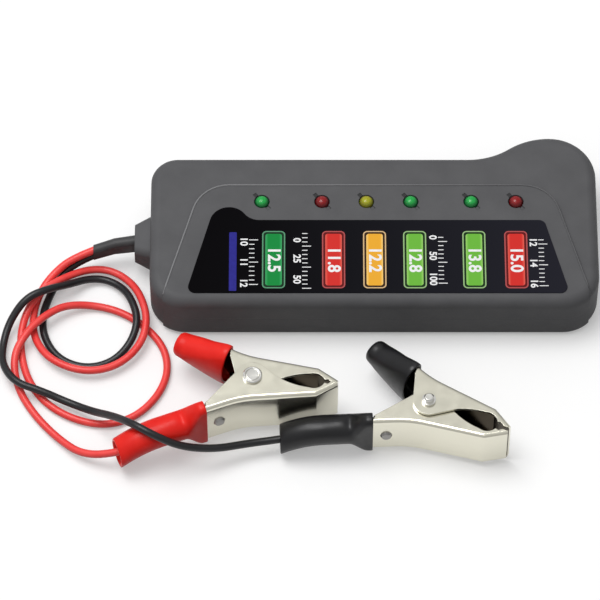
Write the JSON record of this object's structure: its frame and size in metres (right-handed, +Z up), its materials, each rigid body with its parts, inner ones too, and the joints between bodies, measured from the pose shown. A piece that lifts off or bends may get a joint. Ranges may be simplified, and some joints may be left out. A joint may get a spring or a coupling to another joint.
{
  "type": "battery tester",
  "caption": "Hand-held 12 V battery tester: a dark two-shell case with a printed panel and a row of indicator lamps, and a pair of coiled leads ending in sprung, sleeved clamps.",
  "frame": {"origin": "centre of the flat underside of the case", "axes": "+X along the case to the right, away from the cable; +Y to the back; +Z up out of the lamps"},
  "size_m": [0.2004, 0.1215, 0.0231],
  "materials": {
    "case_plastic": "fine matt texture",
    "label_print": "satin printed film",
    "lamp_green": "tinted clear lens",
    "lamp_red": "tinted clear lens",
    "lamp_yellow": "tinted clear lens",
    "board_laminate": "solder mask",
    "tinned_wire": "tinned",
    "screw_steel": "zinc plated",
    "chip_black": "moulded",
    "resistor_body": "lacquered",
    "capacitor_sleeve": "shrunk film",
    "relief_rubber": "satin",
    "wire_red": "satin PVC",
    "wire_black": "satin PVC",
    "clamp_nickel": "bright nickel plate",
    "rivet_steel": "nickel plate",
    "spring_steel": "bright wire",
    "sleeve_black": "satin PVC",
    "sleeve_red": "satin PVC",
    "terminal_brass": "tinned brass"
  },
  "bodies": {
    "tester": {"front_shell": "case_plastic", "rear_shell": "case_plastic", "label_overlay": "label_print", "led_1_green": "lamp_green", "led_2_red": "lamp_red", "led_3_yellow": "lamp_yellow", "led_4_green": "lamp_green", "led_5_green": "lamp_green", "led_6_red": "lamp_red", "circuit_board": "board_laminate", "led_leads": "tinned_wire", "case_screws": "screw_steel", "board_screws": "screw_steel", "comparator_chip": "chip_black", "chip_pins": "tinned_wire", "resistors": "resistor_body", "resistor_legs": "tinned_wire", "protection_diode": "chip_black", "filter_capacitor": "capacitor_sleeve", "strain_relief": "relief_rubber", "inner_lead_red": "wire_red", "inner_lead_black": "wire_black", "red_lead": "wire_red", "black_lead": "wire_black", "black_clamp_fixed_jaw": "clamp_nickel", "black_clamp_rivet": "rivet_steel", "black_clamp_spring": "spring_steel", "black_clamp_fixed_sleeve": "sleeve_black", "black_clamp_terminal": "terminal_brass", "black_clamp_wire_rivet": "rivet_steel", "red_clamp_fixed_jaw": "clamp_nickel", "red_clamp_rivet": "rivet_steel", "red_clamp_spring": "spring_steel", "red_clamp_fixed_sleeve": "sleeve_red", "red_clamp_terminal": "terminal_brass", "red_clamp_wire_rivet": "rivet_steel"},
    "red_jaw": {"red_clamp_moving_jaw": "clamp_nickel", "red_clamp_moving_sleeve": "sleeve_red"},
    "black_jaw": {"black_clamp_moving_jaw": "clamp_nickel", "black_clamp_moving_sleeve": "sleeve_black"}
  },
  "joints": [
    {"name": "red_clamp_jaw", "type": "hinge", "parent": "tester", "child": "red_jaw", "pos_m": [-0.0404, -0.0585, 0.01225], "axis": [0, 0, 1], "range_deg": [0, 30], "stiffness_Nm_per_rad": 0.4, "springref_deg": -34.38, "deforming": ["red_clamp_spring"]},
    {"name": "black_clamp_jaw", "type": "hinge", "parent": "tester", "child": "black_jaw", "pos_m": [0.0174, -0.067, 0.01085], "axis": [0, 0, 1], "range_deg": [0, 30], "stiffness_Nm_per_rad": 0.4, "springref_deg": -34.38, "deforming": ["black_clamp_spring"]}
  ]
}
